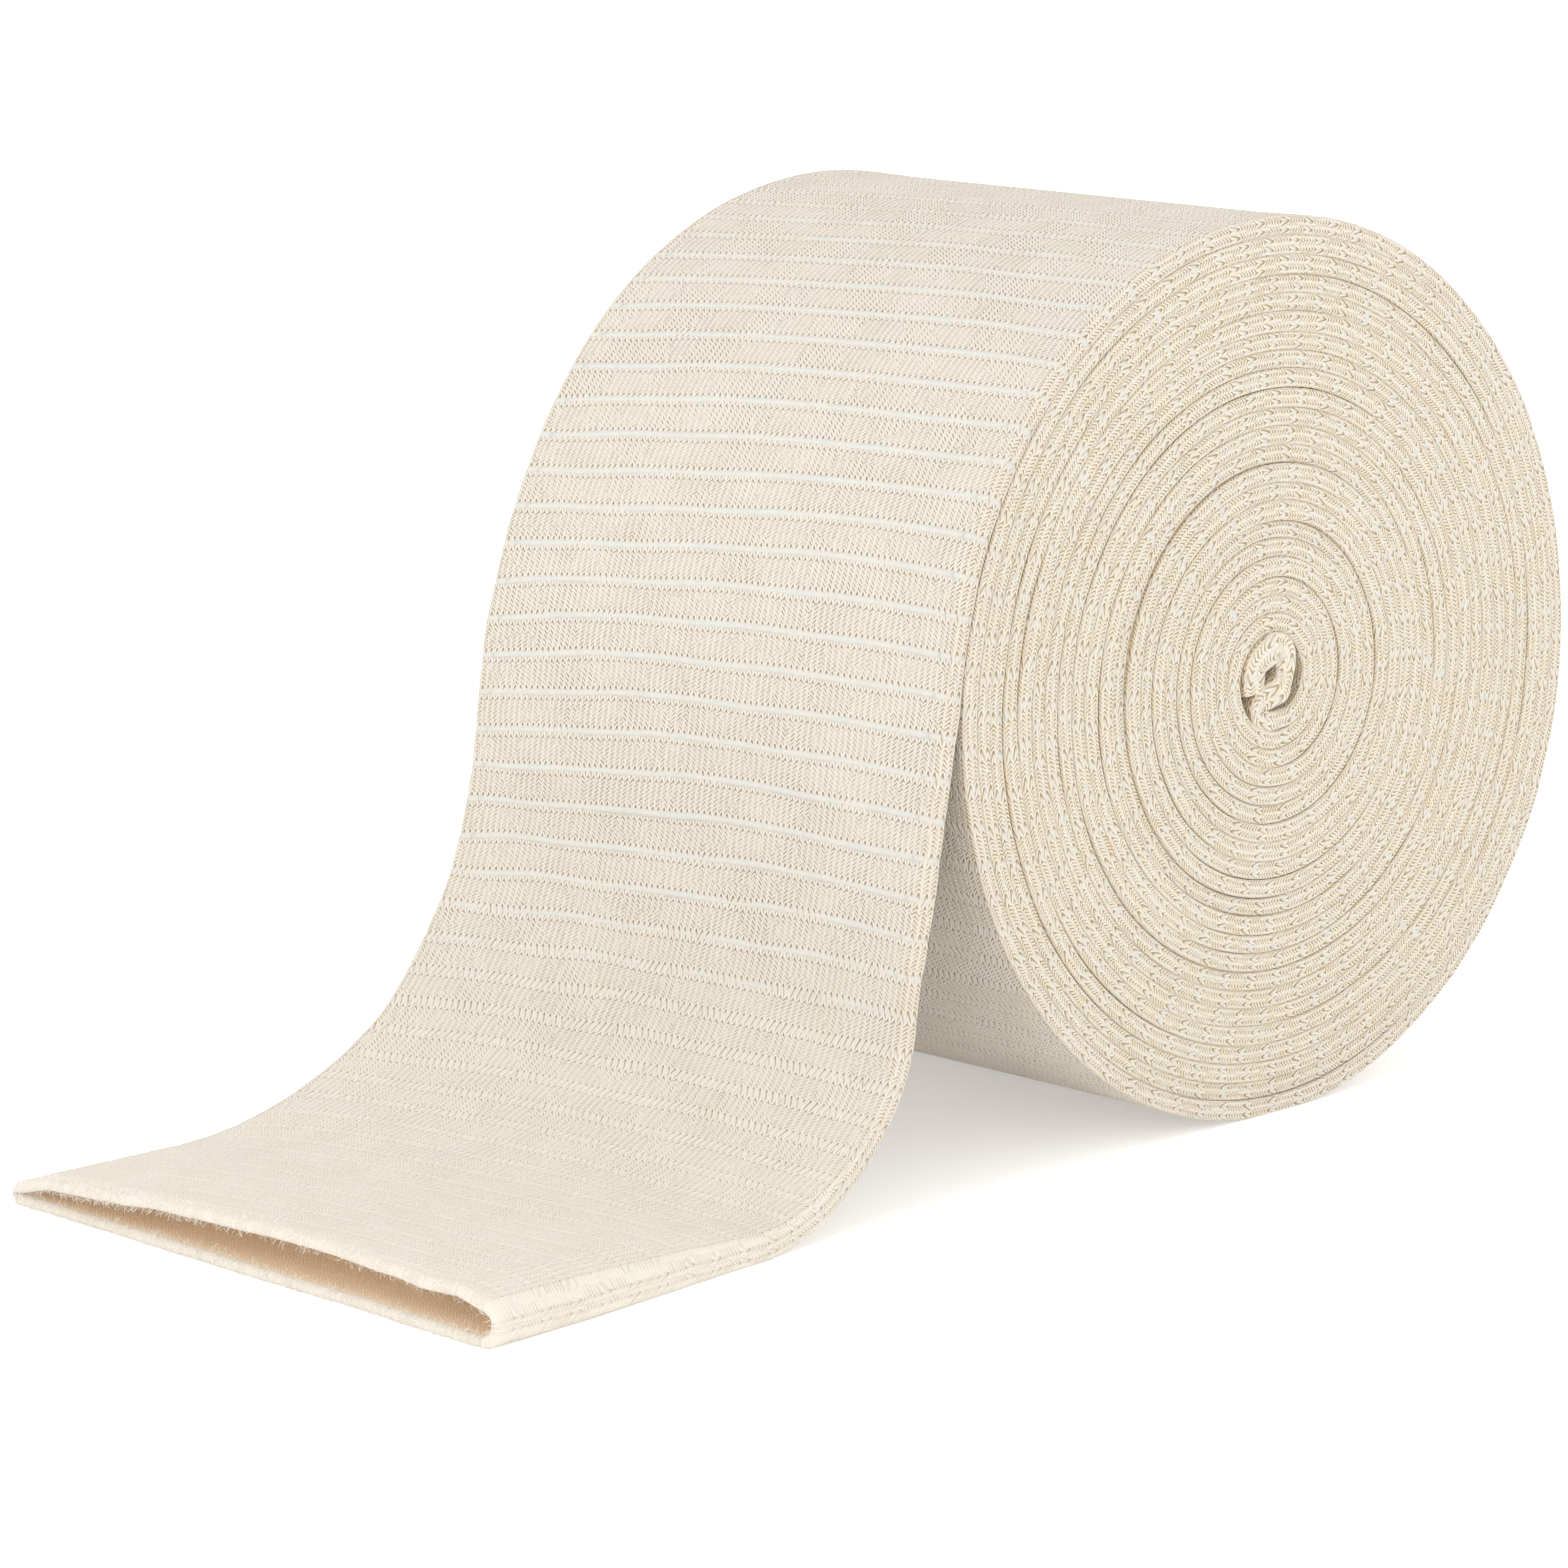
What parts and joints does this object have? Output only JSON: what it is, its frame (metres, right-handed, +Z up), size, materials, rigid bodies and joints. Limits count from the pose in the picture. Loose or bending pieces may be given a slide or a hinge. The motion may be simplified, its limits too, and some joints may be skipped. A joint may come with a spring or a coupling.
{
  "type": "tubular bandage",
  "caption": "Roll of elasticated tubular bandage standing on its round side, its flat free end hanging down the front and lying open-mouthed on the floor.",
  "frame": {"origin": "middle of the bandage's outline on the surface that it stands and lies on", "axes": "+Z up; Y along the roll's axis, with the spiral face that shows in the picture towards -Y; the free end points to -X"},
  "size_m": [0.2166, 0.097, 0.127],
  "materials": {
    "knitted_cotton": "matt cream cotton knit with pinholes between the stitches",
    "elastic_thread": "white covered elastic thread, slightly bright"
  },
  "bodies": {
    "root": {"wound_roll": "knitted_cotton", "free_end": "knitted_cotton"}
  },
  "joints": []
}
